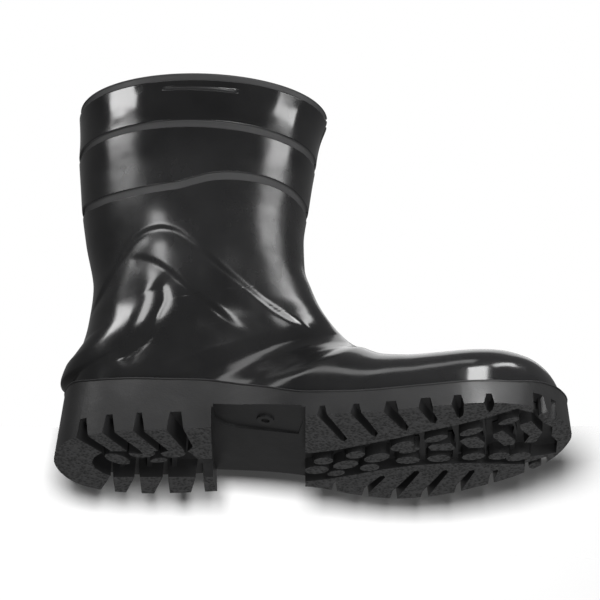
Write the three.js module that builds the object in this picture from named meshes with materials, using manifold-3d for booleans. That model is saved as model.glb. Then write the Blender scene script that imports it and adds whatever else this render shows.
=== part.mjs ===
// Steel toe work boot for the left foot: a one-piece moulded upper on a one-piece lugged outsole,
// with a steel toe cap, a steel midsole plate, a knitted lining and a loose footbed inside.
// Millimetres, +Z up, toe towards +X, outer side of the foot towards +Y, ground at z = 0.
import * as THREE from 'three';
import { mergeVertices } from 'three/addons/utils/BufferGeometryUtils.js';
import Module from 'manifold-3d';

const wasm = await Module();
wasm.setup();

// ---------------------------------------------------------------- driving dimensions

const GAP = 0.4; // clearance between neighbouring pieces
const UPPER_WALL = 2.4;
const LINING_WALL = 1.2;
const CAP_WALL = 2.0;
const COUNTER_WALL = 1.2;
const PLATE_THICKNESS = 1.0;
const BOARD_THICKNESS = 1.5;

const SPRING_START = 62; // the toe lifts off the ground from here on
const SPRING_RISE = 9;
const TOE_END = 150;

const HEEL_DEPTH = 12; // depth of the tread under the heel
const FOREFOOT_DEPTH = 6.5; // depth of the tread under the forefoot
const RIB_DEPTH = 3.5; // the low cross ribs stop this far above the ground
const BREAST = -58; // front face of the heel
const WAIST_FRONT = -4; // rear face of the forefoot tread
// The arch between them: height of its flat bridge and of the recess in it, by x.
const WAIST_FLOOR = [[BREAST, 14.2], [WAIST_FRONT, 6.7]];
const WAIST_RECESS = [[BREAST, 16.2], [WAIST_FRONT, 7.6]];
const BOSS = { x: -27, y: -20, diameter: 10, hole: 5, height: 1.6 };

const AROUND = 32; // points round each section of the upper

// Plan outline of the sole at the ground: [x, y] on the inner side, then on the outer side.
const HEEL_TIP = [-150, 10.5];
const TOE_TIP = [TOE_END, -2];
const OUTLINE = [
  [[-143.5, -11], [-143, 32]],
  [[-131, -20.5], [-130, 43.5]],
  [[-108, -26], [-106, 50]],
  [[-80, -27.7], [-80, 50]],
  [[-52, -31.5], [-55, 47.5]],
  [[-25, -39], [-28, 43]],
  [[5, -45], [0, 42.5]],
  [[36, -48.8], [24, 51.5]],
  [[65, -54.3], [48, 57]],
  [[92, -56.9], [72, 54.2]],
  [[115, -51.5], [98, 45]],
  [[133, -38], [122, 34.5]],
  [[145, -21], [140, 21]],
];

// Top edge of the sole's side wall, above the ground under it: [x, height].
const FOXING = [
  [-150, 46], [-140, 42], [-126, 38], [-90, 36], [-64, 34], [-33, 26], [-2, 18], [25, 16.5],
  [110, 16.5], [132, 21], [150, 24],
];

// Sections of the upper from the rim down the leg, round the heel and out to the toe.
// front and back are [x, z] on the section's centre line, half is its half width, centre its y,
// wide is how far down from front to back it is widest, and round gives the roundness of its
// front and back ends, where 2 is an ellipse and more is squarer.
const SECTIONS = [
  { front: [10.4, 236.5], back: [-143, 241.5], half: 47.8, centre: 8, wide: 0.5, round: [2, 2] },
  { front: [4.2, 212], back: [-142.2, 210], half: 46.5, centre: 8, wide: 0.5, round: [2, 2] },
  { front: [-0.8, 178], back: [-140, 178], half: 44.5, centre: 8, wide: 0.5, round: [2, 2] },
  { front: [-4.8, 148], back: [-136, 147], half: 42.5, centre: 8, wide: 0.5, round: [2, 2] },
  { front: [-4.2, 128], back: [-130.5, 114], half: 40.5, centre: 8.3, wide: 0.5, round: [2, 2] },
  { front: [0.2, 113], back: [-133, 88], half: 38.5, centre: 9, wide: 0.52, round: [2, 2] },
  { front: [5, 101.5], back: [-139, 62], half: 37.5, centre: 9.5, wide: 0.55, round: [2, 2.1] },
  { front: [10, 93.5], back: [-142.5, 42], half: 35.8, centre: 10.4, wide: 0.58, round: [2, 2.2] },
  { front: [14.5, 87.5], back: [-138, 25], half: 34.2, centre: 11.1, wide: 0.62, round: [2, 3] },
  { front: [19, 82], back: [-116, 22], half: 33, centre: 11.2, wide: 0.68, round: [2, 5.5] },
  { front: [24, 76], back: [-88, 21.5], half: 32.4, centre: 9.3, wide: 0.74, round: [2, 8] },
  { front: [29, 70], back: [-56, 19], half: 34.2, centre: 5.4, wide: 0.76, round: [2, 8] },
  { front: [35, 63.5], back: [-18, 17.3], half: 37.4, centre: -0.5, wide: 0.78, round: [2, 8] },
  { front: [43, 59], back: [18, 10.6], half: 43.3, centre: 0.5, wide: 0.78, round: [2, 8] },
  { front: [55, 56.5], back: [45, 10.4], half: 48.8, centre: 2.6, wide: 0.78, round: [2.1, 8] },
  { front: [73, 54.8], back: [70, 10.5], half: 49.8, centre: -0.3, wide: 0.76, round: [2.2, 8] },
  { front: [92, 54], back: [92, 12], half: 47.5, centre: -4.5, wide: 0.74, round: [2.3, 8] },
  { front: [110, 53.6], back: [110, 13.3], half: 41.6, centre: -6.4, wide: 0.72, round: [2.4, 7] },
  { front: [124, 51.6], back: [124, 15], half: 34.2, centre: -6, wide: 0.7, round: [2.4, 6] },
  { front: [134, 47], back: [134, 17], half: 25.4, centre: -5, wide: 0.66, round: [2.4, 5] },
  { front: [140.6, 40.5], back: [140.4, 19], half: 16.8, centre: -4, wide: 0.6, round: [2.3, 3] },
  { front: [144.2, 33], back: [144, 22], half: 9.6, centre: -3.5, wide: 0.55, round: [2.2, 2.5] },
];
const TOE_POLE = [145.8, -3.3, 27];

// ---------------------------------------------------------------- small tools

/** A smooth function through [x, value] pairs that doesn't swing past them. */
function smooth(pairs) {
  const slopes = pairs.slice(1).map(([x, y], i) => (y - pairs[i][1]) / (x - pairs[i][0]));
  const tangents = pairs.map((_, i) => {
    const before = slopes[Math.max(i - 1, 0)];
    const after = slopes[Math.min(i, slopes.length - 1)];
    return before * after <= 0 ? 0 : (2 * before * after) / (before + after);
  });
  return (x) => {
    let i = 0;
    while (i < pairs.length - 2 && x > pairs[i + 1][0]) i += 1;
    const width = pairs[i + 1][0] - pairs[i][0];
    const s = THREE.MathUtils.clamp((x - pairs[i][0]) / width, 0, 1);
    const s2 = s * s;
    const s3 = s2 * s;
    return (
      pairs[i][1] * (2 * s3 - 3 * s2 + 1) +
      pairs[i + 1][1] * (3 * s2 - 2 * s3) +
      width * (tangents[i] * (s3 - 2 * s2 + s) + tangents[i + 1] * (s3 - s2))
    );
  };
}

const foxingHeight = smooth(FOXING);

/** Height of the ground face of the sole: zero until the toe starts to lift. */
function spring(x) {
  const s = Math.max(0, (x - SPRING_START) / (TOE_END - SPRING_START));
  return SPRING_RISE * s * s;
}

/** Triangles that fill a ring, seen in plan, wound the way the ring runs. */
function capFaces(ring, start) {
  const flat = ring.map((p) => new THREE.Vector2(p.x, p.y));
  const area = THREE.ShapeUtils.area(flat);
  if (Math.abs(area) < 1e-3) return [];
  return THREE.ShapeUtils.triangulateShape(flat, []).map((face) => {
    const turned = THREE.ShapeUtils.area(face.map((i) => flat[i])) * area < 0;
    return (turned ? [...face].reverse() : face).map((i) => start + i);
  });
}

/**
 * A closed solid through rings of equal length, each face split along its shorter diagonal.
 * With capped, the first and last rings are filled in; otherwise they close on themselves.
 */
function loft(rings, { capped = true } = {}) {
  const count = rings[0].length;
  const points = rings.flat();
  const positions = points.flatMap((p) => [p.x, p.y, p.z]);
  const indices = [];
  for (let k = 0; k + 1 < rings.length; k += 1) {
    for (let i = 0; i < count; i += 1) {
      const a = k * count + i;
      const b = k * count + ((i + 1) % count);
      const [c, d] = [b + count, a + count];
      if (points[a].distanceTo(points[c]) < points[b].distanceTo(points[d])) {
        indices.push(a, b, c, a, c, d);
      } else {
        indices.push(a, b, d, b, c, d);
      }
    }
  }
  if (capped) {
    indices.push(...capFaces(rings[0], 0).map(([a, b, c]) => [c, b, a]).flat());
    indices.push(...capFaces(rings.at(-1), (rings.length - 1) * count).flat());
  }
  const geometry = new THREE.BufferGeometry();
  geometry.setAttribute('position', new THREE.Float32BufferAttribute(positions, 3));
  geometry.setIndex(indices);
  return tidy(geometry);
}

/** Merges shared corners, drops triangles with no area and turns the faces outwards. */
function tidy(geometry) {
  const merged = mergeVertices(geometry, 1e-4);
  const position = merged.getAttribute('position');
  const corner = (i) => new THREE.Vector3().fromBufferAttribute(position, i);
  const kept = [];
  let volume = 0;
  for (let i = 0; i < merged.index.count; i += 3) {
    const [a, b, c] = [0, 1, 2].map((n) => merged.index.getX(i + n));
    if (a === b || b === c || a === c) continue;
    kept.push(a, b, c);
    volume += corner(a).dot(corner(b).cross(corner(c)));
  }
  if (volume < 0) kept.reverse();
  merged.setIndex(kept);
  return merged;
}

function toManifold(geometry) {
  const vertProperties = new Float32Array(geometry.getAttribute('position').array);
  const triVerts = new Uint32Array(geometry.index.array);
  return new wasm.Manifold(new wasm.Mesh({ numProp: 3, vertProperties, triVerts }));
}

function fromManifold(solid) {
  const mesh = solid.getMesh();
  const geometry = new THREE.BufferGeometry();
  geometry.setAttribute('position', new THREE.BufferAttribute(mesh.vertProperties, 3));
  geometry.setIndex(new THREE.BufferAttribute(mesh.triVerts, 1));
  return geometry;
}

const joinAll = (solids) => solids.reduce((sum, next) => sum.add(next));

/** The height of a level at x: a number where it is flat, or two [x, height] pairs where it slopes. */
function heightAt(level, x) {
  if (!Array.isArray(level)) return level;
  const [[x0, z0], [x1, z1]] = level;
  return THREE.MathUtils.mapLinear(x, x0, x1, z0, z1);
}

/** An upright solid for cutting, from a plan outline to the outline that it narrows to at its top. */
function prism(outline, bottom, top, topOutline = outline) {
  const level = (points, at) =>
    points.map(([x, y]) => new THREE.Vector3(x, y, heightAt(at, x) + spring(x)));
  return toManifold(loft([level(outline, bottom), level(topOutline, top)]));
}

// ---------------------------------------------------------------- plan outline of the sole

const outlineCurve = new THREE.CatmullRomCurve3(
  [
    HEEL_TIP,
    ...OUTLINE.map(([inner]) => inner),
    TOE_TIP,
    ...OUTLINE.map(([, outer]) => outer).reverse(),
  ].map(([x, y]) => new THREE.Vector3(x, y, 0)),
  true,
  'centripetal',
);

/** The outline's point at u, from 0 at the heel tip by the inner side, moved inwards. */
function outlinePoint(u, inset) {
  const point = outlineCurve.getPoint(u % 1);
  const along = outlineCurve.getTangent(u % 1);
  return [point.x - along.y * inset, point.y + along.x * inset];
}

const OUTLINE_SAMPLES = 240;

/** One side of the outline from heel to toe, moved inwards by inset(x): a function that gives y. */
function outlineSide(isInner, inset) {
  const points = Array.from({ length: OUTLINE_SAMPLES + 1 }, (_, i) => {
    const u = isInner ? i / OUTLINE_SAMPLES / 2 : 1 - i / OUTLINE_SAMPLES / 2;
    return outlinePoint(u, inset(outlinePoint(u, 0)[0]));
  });
  const [start, end] = [points[0], points.at(-1)];
  const at = (x) => {
    if (x <= start[0]) return start[1];
    if (x >= end[0]) return end[1];
    let i = 0;
    while (i < points.length - 2 && x > points[i + 1][0]) i += 1;
    const share = (x - points[i][0]) / (points[i + 1][0] - points[i][0]);
    return THREE.MathUtils.lerp(points[i][1], points[i + 1][1], THREE.MathUtils.clamp(share, 0, 1));
  };
  return { at, start: start[0], end: end[0] };
}

/**
 * A flat solid the shape of the foot, in sections across it that crowd towards its two tips.
 * low and high are its two faces, each { inset(x), z(x, across) }, where across runs from -1 to 1.
 */
function soleSlab({ low, high, sections, columns = 2 }) {
  const face = ({ inset, z }) => {
    const near = outlineSide(true, inset);
    const far = outlineSide(false, inset);
    return (k) => {
      const share = (1 - Math.cos((Math.PI * k) / sections)) / 2;
      const x = THREE.MathUtils.lerp(near.start, near.end, share);
      return Array.from({ length: columns }, (_, i) => {
        const across = (2 * i) / (columns - 1) - 1;
        const y = THREE.MathUtils.lerp(near.at(x), far.at(x), (across + 1) / 2);
        return new THREE.Vector3(x, y, z(x, across));
      });
    };
  };
  const [lowRow, highRow] = [face(low), face(high)];
  const rings = Array.from({ length: sections + 1 }, (_, k) => [
    ...lowRow(k),
    ...highRow(k).reverse(),
  ]);
  return loft(rings, { capped: false });
}

// ---------------------------------------------------------------- sections of the upper

const stationIndex = SECTIONS.map((_, i) => i);
const along = (pick) => smooth(stationIndex.map((i) => [i, pick(SECTIONS[i])]));
const profile = {
  frontX: along((s) => s.front[0]),
  frontZ: along((s) => s.front[1]),
  backX: along((s) => s.back[0]),
  backZ: along((s) => s.back[1]),
  half: along((s) => s.half),
  centre: along((s) => s.centre),
  wide: along((s) => s.wide),
  frontRound: along((s) => s.round[0]),
  backRound: along((s) => s.round[1]),
};
const LAST = SECTIONS.length - 1;
const TOE_SECTIONS = 17; // the sections from here on stand upright across the toe
const STEP = 0.05; // between the sections compared for a slope

/** The profile's unit normal, out of the boot, at the front or back end of section t. */
function profileNormal(end, t) {
  const a = Math.max(t - STEP, 0);
  const b = Math.min(t + STEP, LAST);
  const dx = profile[`${end}X`](b) - profile[`${end}X`](a);
  const dz = profile[`${end}Z`](b) - profile[`${end}Z`](a);
  const length = Math.hypot(dx, dz);
  return end === 'front' ? [-dz / length, dx / length] : [dz / length, -dx / length];
}

/** The middle point of section t, where it is widest. */
function widestPoint(t) {
  return new THREE.Vector2(
    THREE.MathUtils.lerp(profile.frontX(t), profile.backX(t), profile.wide(t)),
    THREE.MathUtils.lerp(profile.frontZ(t), profile.backZ(t), profile.wide(t)),
  );
}

/** An end of section t, moved in by depth: along the section, or along its normal at the toe. */
function sectionEnd(end, t, depth, widest) {
  const point = new THREE.Vector2(profile[`${end}X`](t), profile[`${end}Z`](t));
  const normal = new THREE.Vector2(...profileNormal(end, t));
  if (t >= TOE_SECTIONS) return point.addScaledVector(normal, -depth);
  const inwards = widest.clone().sub(point).normalize();
  return point.addScaledVector(inwards, -depth / inwards.dot(normal));
}

/** One section of the upper, drawn inwards by the layer's depth = { front, side, back } there. */
function section(t, layer) {
  const depth = layer(t);
  const widest = widestPoint(t);
  const front = sectionEnd('front', t, depth.front, widest);
  const back = sectionEnd('back', t, depth.back, widest);
  const backNormal = profileNormal('back', t);

  // The side moves along its own normal, which leans forwards where the foot narrows.
  const [ahead, behind] = [Math.min(t + STEP, LAST), Math.max(t - STEP, 0)];
  const travel = widestPoint(ahead).sub(widestPoint(behind));
  const widening = (profile.half(ahead) - profile.half(behind)) / travel.length();
  const lean = Math.hypot(1, widening);
  const half = profile.half(t) - depth.side / lean;
  widest.addScaledVector(travel.normalize(), (depth.side * widening) / lean);

  return Array.from({ length: AROUND }, (_, i) => {
    const angle = (2 * Math.PI * i) / AROUND;
    const c = Math.cos(angle);
    const s = Math.sin(angle);
    const power = 2 / (c > 0 ? profile.frontRound(t) : profile.backRound(t));
    const point = widest.clone().lerp(c > 0 ? front : back, Math.abs(c) ** power);
    const y = profile.centre(t) + Math.sign(s) * Math.abs(s) ** power * half;
    const spur = depth.spur ? depth.spur * Math.max(0, -c) ** SPUR_NARROWING : 0;
    return new THREE.Vector3(
      point.x + backNormal[0] * spur,
      y,
      point.y + backNormal[1] * spur,
    );
  });
}

/** The sections of a layer at the given levels, closed by the toe's pole. */
function skin(layer, levels) {
  const rings = levels.map((t) => section(t, layer));
  const pole = new THREE.Vector3(TOE_POLE[0] - layer(LAST).front, TOE_POLE[1], TOE_POLE[2]);
  return [...rings, Array.from({ length: AROUND }, () => pole.clone())];
}

/** A wall from one layer in to another, closed at the toe and open at its first level. */
function shell(outer, outerLevels, inner, innerLevels) {
  return loft([...skin(outer, outerLevels).reverse(), ...skin(inner, innerLevels)]);
}

/** A strip of wall between two layers that runs round points first to last of each section. */
function patch(outer, inner, levels, first, last) {
  const pick = (ring) =>
    Array.from({ length: last - first + 1 }, (_, i) => ring[(first + i + AROUND) % AROUND]);
  const rings = levels.map((t) => [
    ...pick(section(t, outer)),
    ...pick(section(t, inner)).reverse(),
  ]);
  const flatten = (ring) => {
    const width = ring.length / 2;
    return ring.map((_, i) => (i < width ? ring[i] : ring[ring.length - 1 - i]).clone());
  };
  return loft([flatten(rings[0]), ...rings, flatten(rings.at(-1))], { capped: false });
}

/** A ring of wall between two layers, open at both ends. */
function band(outer, inner, top, bottom) {
  const rings = [
    section(top, outer),
    section(bottom, outer),
    section(bottom, inner),
    section(top, inner),
    section(top, outer),
  ];
  return loft(rings, { capped: false });
}

// ---------------------------------------------------------------- layers

// Levels are section numbers. The foot's levels are shared by every layer, so their facets agree.
const FOOT_LEVELS = [
  3, 4, 5, 6, 6.5, 7, 7.5, 8, 8.5, 9, 10, 11, 12, 13, 14, 15, 15.5, 16, 17, 18, 18.5, 19, 19.5, 20,
  20.5, 21,
];
const CAP_START = 15.5;
const STRIP_LEVELS = [15.05, 15.42];
const COUNTER_LEVELS = [5, 6, 6.5, 7, 7.5, 8];
const LINING_TOP = 0.45;
const TAPE_LEVELS = [0.06, 0.41];

// Raised bands round the leg: [first level, last level, how far they stand out].
const BANDS = [
  [0, 0.17, 1.2],
  [1.15, 1.31, 1.3],
  [2.31, 2.49, 1.3],
];
const BAND_EDGE = 0.03;
// The ledge at the back of the heel for pulling the boot off: [level, how far it stands out].
const SPUR = smooth([[5.6, 0], [6.15, 6], [6.62, 6.5], [6.7, 0]]);
const SPUR_LEVELS = [5.6, 6.15, 6.62, 6.7];
const SPUR_NARROWING = 6;

const even = (depth) => () => ({ front: depth, side: depth, back: depth });

/** The upper's outer face, with its raised bands and the heel spur. */
function outerFace(t) {
  const inBand = BANDS.find(([from, to]) => t >= from && t <= to);
  const depth = inBand ? -inBand[2] : 0;
  const spur = t > SPUR_LEVELS[0] && t < SPUR_LEVELS[3] ? SPUR(t) : 0;
  return { front: depth, side: depth, back: depth, spur };
}

const outerLevels = [
  ...BANDS.flatMap(([from, to]) => [from - BAND_EDGE, from, to, to + BAND_EDGE]),
  ...FOOT_LEVELS,
  ...SPUR_LEVELS,
]
  .filter((t) => t >= 0)
  .sort((a, b) => a - b);
const innerLevels = [0, 1, 2, ...FOOT_LEVELS];

const UNDER_LINING = UPPER_WALL + GAP;
const CAP_STEP = CAP_WALL + GAP;
const COUNTER_STEP = COUNTER_WALL + GAP;
const PLATE_BASE = 2 * GAP; // above the upper's floor
const BOARD_BASE = PLATE_BASE + PLATE_THICKNESS + GAP;
const SOLE_STEP = BOARD_BASE + BOARD_THICKNESS + GAP;
const capShare = smooth([[14, 0], [15, 1]]);
const counterShare = smooth([[4, 0], [5, 1], [8, 1], [9, 0]]);
const soleShare = smooth([[7, 0], [8.5, 1], [19.5, 1], [LAST, 0]]);

/** A face of the lining, which goes round the toe cap, the heel counter and the midsole. */
const liningFace = (depth) => (t) => {
  const cap = CAP_STEP * capShare(t);
  const counter = COUNTER_STEP * counterShare(t);
  const base = UNDER_LINING + depth;
  return {
    front: base + cap,
    side: base + cap + counter,
    back: base + counter + Math.max(SOLE_STEP * soleShare(t), cap),
  };
};

/** Height of the floor inside a layer, straight from level to level. */
function floorLine(layer) {
  const backs = FOOT_LEVELS.filter((t) => t >= 8 && t <= 19.5).map((t) =>
    sectionEnd('back', t, layer(t).back, widestPoint(t)),
  );
  return (x) => {
    const found = backs.findIndex((back) => back.x > x);
    const i = found < 1 ? (found === 0 ? 1 : backs.length - 1) : found;
    return THREE.MathUtils.mapLinear(x, backs[i - 1].x, backs[i].x, backs[i - 1].y, backs[i].y);
  };
}

// ---------------------------------------------------------------- tread

/** An oval of n points, turned by degrees. */
function oval(x, y, length, width, degrees = 0, n = 12) {
  const turn = THREE.MathUtils.degToRad(degrees);
  return Array.from({ length: n }, (_, i) => {
    const a = (2 * Math.PI * i) / n;
    const u = (Math.cos(a) * length) / 2;
    const v = (Math.sin(a) * width) / 2;
    return [x + u * Math.cos(turn) - v * Math.sin(turn), y + u * Math.sin(turn) + v * Math.cos(turn)];
  });
}

/** An outline drawn out from its middle, for the draft of a lug. */
function grown(outline, by) {
  const cx = outline.reduce((sum, p) => sum + p[0], 0) / outline.length;
  const cy = outline.reduce((sum, p) => sum + p[1], 0) / outline.length;
  return outline.map(([x, y]) => {
    const length = Math.hypot(x - cx, y - cy);
    return [x + ((x - cx) / length) * by, y + ((y - cy) / length) * by];
  });
}

const BELOW = -4; // cutters start this far under the ground
const LUG_DRAFT = 0.8; // each lug grows this much towards its root
const GROOVE_DRAFT = 2.2; // each side of a groove leans in this much towards its root

// Heel: a channel down the middle, and grooves that run from it out through both side walls.
const HEEL_CHANNEL = [
  [-118, -1.5], [-122.5, 1], [-126.5, 6], [-128, 12], [-126.5, 19], [-122, 25.5], [-116, 30],
  [BREAST + 0.3, 30], [BREAST + 0.3, 7.4], [-60, 7.5], [-66.5, 8], [-70, 1], [-73, -2],
];
const HEEL_PADS = [
  [-113, 8, 17, 9, 40],
  [-98.5, 1, 15, 10, 0],
  [-89, 9.5, 10, 5, -15],
  [-80.5, 1, 14, 10, 0],
];
const HEEL_RIBS = [-111, -95, -80.5, -65];
const HEEL_GROOVES = [
  [[-142, -34], [-131, -34], [-127.5, -19], [-116, -2], [-121.5, 1], [-135.5, -17]],
  [[-124, -34], [-112.5, -34], [-112.5, -24], [-100, -4], [-98, 2], [-106, 1], [-121, -24]],
  [[-105, -38], [-95.5, -38], [-95.5, -25], [-82.5, -2], [-88, 1], [-103, -26]],
  [[-85, -38], [-73.5, -38], [-73, -27], [-68.5, -7], [-73, 1], [-84, -27]],
  [[-129, 56], [-115.5, 56], [-116.3, 28], [-118.5, 29]],
  [[-113, 58], [-100.3, 58], [-100.8, 27], [-103.5, 27]],
  [[-96, 58], [-83.2, 58], [-84, 27], [-87, 27]],
  [[-73.5, 58], [-62.5, 58], [-63, 26], [-68, 26]],
];

// Forefoot: a middle field of oval lugs between an inner and an outer band of long lugs.
const MIDDLE_FIELD = [
  [-14, 2], [0, 0.5], [14, -3], [30, -9.5], [48, -17], [65, -25.5], [80, -31], [98, -38],
  [116, -46], [121, -42], [126, -38.5], [132, -26], [138, -18], [138, -8], [142, 0], [142, 14],
  [124.5, 14], [124.5, 23], [108, 18.5], [92, 15], [75, 14], [58, 16], [42, 20.5], [24, 27.5],
  [8, 33], [-14, 38],
];
const OVAL_LUGS = [
  [2.5, 21.5, 14, 9, -10], [6.5, 10.5, 11, 8, -15], [14, 25.5, 10, 6, -20], [19.5, 15, 15, 9, -25],
  [25, 3, 11, 8, -25], [33.5, 18.5, 11, 8, -15], [37.5, 6.5, 15.5, 9, -28], [52, -7.5, 15, 9, -38],
  [55.5, 9.5, 13.5, 8, -5], [56, -2.5, 12, 5, -25], [73.5, 7.5, 13, 8, 0], [71, -16.5, 14, 6.5, -28],
  [93.5, 7, 13, 8, -5], [91, -23, 14, 7, -28], [108.5, 9, 12, 8, 0], [112, -32, 12, 6, -25],
  [120, 12.5, 14, 9, -10],
];
const BLOCK_LUGS = [
  [[67, -6.5], [69, -2.5], [80, -2], [82.5, -4], [79.5, -10.5], [69, -9]],
  [[85, -12.5], [90.5, -4], [98.5, -3.5], [99, -9], [94.5, -16.5], [88, -15.5]],
  [[104, -18], [104.5, -14], [111, -3.5], [116, -3.5], [117, -8], [109, -21.5]],
  [[119.5, -21], [125, -12], [122.5, -4], [129, -3.5], [132, -14], [125, -29], [119, -26]],
];
const CROSS_RIBS = [
  [[61.5, 17], [66, 17], [65, -12], [63, -30], [58, -30], [62, -12]],
  [[81.5, 17], [85, 17], [84.5, -8], [83.5, -36], [77, -36], [82, -14]],
  [[99, 20], [101.5, 20], [100, -14], [97, -42], [93, -42], [98.5, -14]],
  [[113.5, 22], [117, 22], [118, -12], [113, -42], [108, -42], [116, -18]],
];
const INNER_GROOVES = [
  [[0.5, -60], [9.5, -60], [9, -45], [20.8, -16.5], [18.5, -13], [16, -14.5], [1.5, -45]],
  [[20, -64], [29, -64], [28.5, -47], [38.2, -23], [36.5, -18.5], [33.5, -20.5], [20.5, -47]],
  [[39.5, -64], [48.5, -64], [49.5, -47], [55.5, -30.5], [54, -26], [50.5, -28], [39.5, -48]],
  [[59, -68], [68, -68], [69, -48], [71.8, -39], [70, -34], [66.5, -36], [59, -52]],
  [[77.5, -68], [86, -68], [86.3, -50], [86, -43], [83.5, -39.5], [81.3, -42], [77.5, -56]],
  [[95.5, -68], [103.5, -68], [103.5, -52], [102.5, -47.5], [100, -45], [98.3, -47], [95.5, -57]],
];
const OUTER_GROOVES = [
  [[8, 60], [17, 60], [15, 46], [13.8, 36], [12.5, 38]],
  [[26, 66], [33.5, 66], [34, 50], [43.5, 30.5], [42, 28], [39, 29.5], [30.5, 44]],
  [[44, 68], [50, 68], [51, 56], [63.3, 24.5], [62, 22.3], [59, 23], [47, 48]],
  [[62, 66], [67.5, 66], [69.5, 54], [80, 24.5], [78.5, 21.5], [75.8, 23], [64.8, 48]],
  [[82, 64], [87, 64], [88.5, 49], [95.5, 25.5], [94, 23.3], [91.5, 24.5], [84.5, 42]],
  [[102, 60], [107, 60], [107.5, 39], [109.3, 27.5], [108, 25.5], [105.5, 27], [103.8, 31.5]],
];
// Square pockets with a round stud, at both sides of the toe: the pocket's outline and the stud.
const TOE_POCKETS = [
  { outline: [[125.5, -62], [139.5, -50], [139.5, -28], [125.5, -31]], stud: [132.5, -33.5] },
  { outline: [[124.5, 50], [137, 44], [137, 17], [124.5, 21]], stud: [130.5, 26] },
];
const STUD_DIAMETER = 7;
const POCKET_HEIGHT = 11;

/**
 * A groove through a side wall. Its outline starts with the left and right corners outside the
 * wall and runs on along the right side, so corner i faces corner n + 1 - i across the groove.
 */
function groove(outline, depth) {
  const count = outline.length;
  const topOutline = outline.map(([x, y], i) => {
    const across = outline[(count + 1 - i) % count][0] - x;
    return [x + Math.sign(across) * Math.min(GROOVE_DRAFT, Math.abs(across) * 0.3), y];
  });
  return prism(outline, BELOW, depth, topOutline);
}

const lug = (outline, top) => prism(outline, BELOW - 1, top, grown(outline, LUG_DRAFT));

/** The tread's hollows under the heel. */
function heelCutter() {
  let channel = prism(HEEL_CHANNEL, BELOW, HEEL_DEPTH);
  for (const [x, y, length, width, turn] of HEEL_PADS) {
    channel = channel.subtract(lug(oval(x, y, length, width, turn), HEEL_DEPTH + 1));
  }
  for (const x of HEEL_RIBS) {
    const outline = [[x - 2, 31], [x + 1, 31], [x + 3, -2], [x, -2]];
    channel = channel.subtract(prism(outline, HEEL_DEPTH - 5, HEEL_DEPTH + 1));
  }
  return joinAll([channel, ...HEEL_GROOVES.map((outline) => groove(outline, HEEL_DEPTH))]);
}

/** The tread's hollows under the forefoot. */
function forefootCutter() {
  const ovals = OVAL_LUGS.map(([x, y, length, width, turn]) => oval(x, y, length, width, turn));
  let field = prism(MIDDLE_FIELD, BELOW, FOREFOOT_DEPTH);
  for (const outline of [...ovals, ...BLOCK_LUGS]) {
    field = field.subtract(lug(outline, FOREFOOT_DEPTH + 1));
  }
  for (const outline of CROSS_RIBS) {
    field = field.subtract(prism(outline, RIB_DEPTH, FOREFOOT_DEPTH + 1));
  }
  const grooves = [...INNER_GROOVES, ...OUTER_GROOVES].map((g) => groove(g, FOREFOOT_DEPTH));
  const pockets = TOE_POCKETS.map(({ outline, stud }) =>
    prism(outline, BELOW, POCKET_HEIGHT).subtract(
      lug(oval(stud[0], stud[1], STUD_DIAMETER, STUD_DIAMETER), POCKET_HEIGHT + 1),
    ),
  );
  return joinAll([field, ...grooves, ...pockets]);
}

/** The hollow under the waist: a flat bridge, and a deeper recess open to the inner side. */
function waistCutter() {
  const bridge = [
    [BREAST, -60], [WAIST_FRONT, -60], [WAIST_FRONT, 60], [BREAST + 6, 60], [BREAST + 1.5, 46],
    [BREAST, 36],
  ];
  const recess = [
    [BREAST + 1, -60], [WAIST_FRONT - 3, -60], [WAIST_FRONT - 1.5, -24], [WAIST_FRONT - 4, -9],
    [-44, -7.5], [-51, -9.5], [-55.5, -14], [BREAST + 1, -22],
  ];
  const { x, y, diameter, hole, height } = BOSS;
  const bottom = heightAt(WAIST_RECESS, x) - height;
  const boss = prism(oval(x, y, diameter, diameter), bottom, bottom + 2 * height).subtract(
    prism(oval(x, y, hole, hole), bottom - 1, WAIST_RECESS),
  );
  return prism(bridge, BELOW, WAIST_FLOOR).add(prism(recess, BELOW, WAIST_RECESS).subtract(boss));
}

// ---------------------------------------------------------------- pieces

const CUSHION = { x: -102, y: 11, length: 50, width: 40, bottom: 14.5, top: 20.2 };

function makeOutsole() {
  const wall = toManifold(
    soleSlab({
      sections: 84,
      low: { inset: () => 0, z: spring },
      high: {
        inset: smooth([[-150, 5], [-120, 3], [100, 2.6], [150, 2]]),
        z: (x) => spring(x) + foxingHeight(x),
      },
    }),
  );
  const upperSpace = toManifold(loft(skin(even(-GAP), outerLevels)));
  const { x, y, length, width, bottom, top } = CUSHION;
  const pocket = prism(oval(x, y, length, width, 0, 24), bottom, top + UPPER_WALL);
  const cutters = [heelCutter(), forefootCutter(), waistCutter(), pocket, upperSpace];
  return fromManifold(cutters.reduce((solid, cutter) => solid.subtract(cutter), wall));
}

function makeUpper() {
  return shell(outerFace, outerLevels, even(UPPER_WALL), innerLevels);
}

function makeLining() {
  const levels = [LINING_TOP, 1, 2, ...FOOT_LEVELS];
  return shell(liningFace(0), levels, liningFace(LINING_WALL), levels);
}

const makeTape = () => band(liningFace(0), liningFace(LINING_WALL), ...TAPE_LEVELS);

const CAP_FLANGE = 17; // from the sole's edge in to the window in the cap's underside
const CAP_WINDOW = [0.33, 0.65]; // where that window starts and ends round the outline
const CAP_WINDOW_POINTS = 16;

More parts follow.
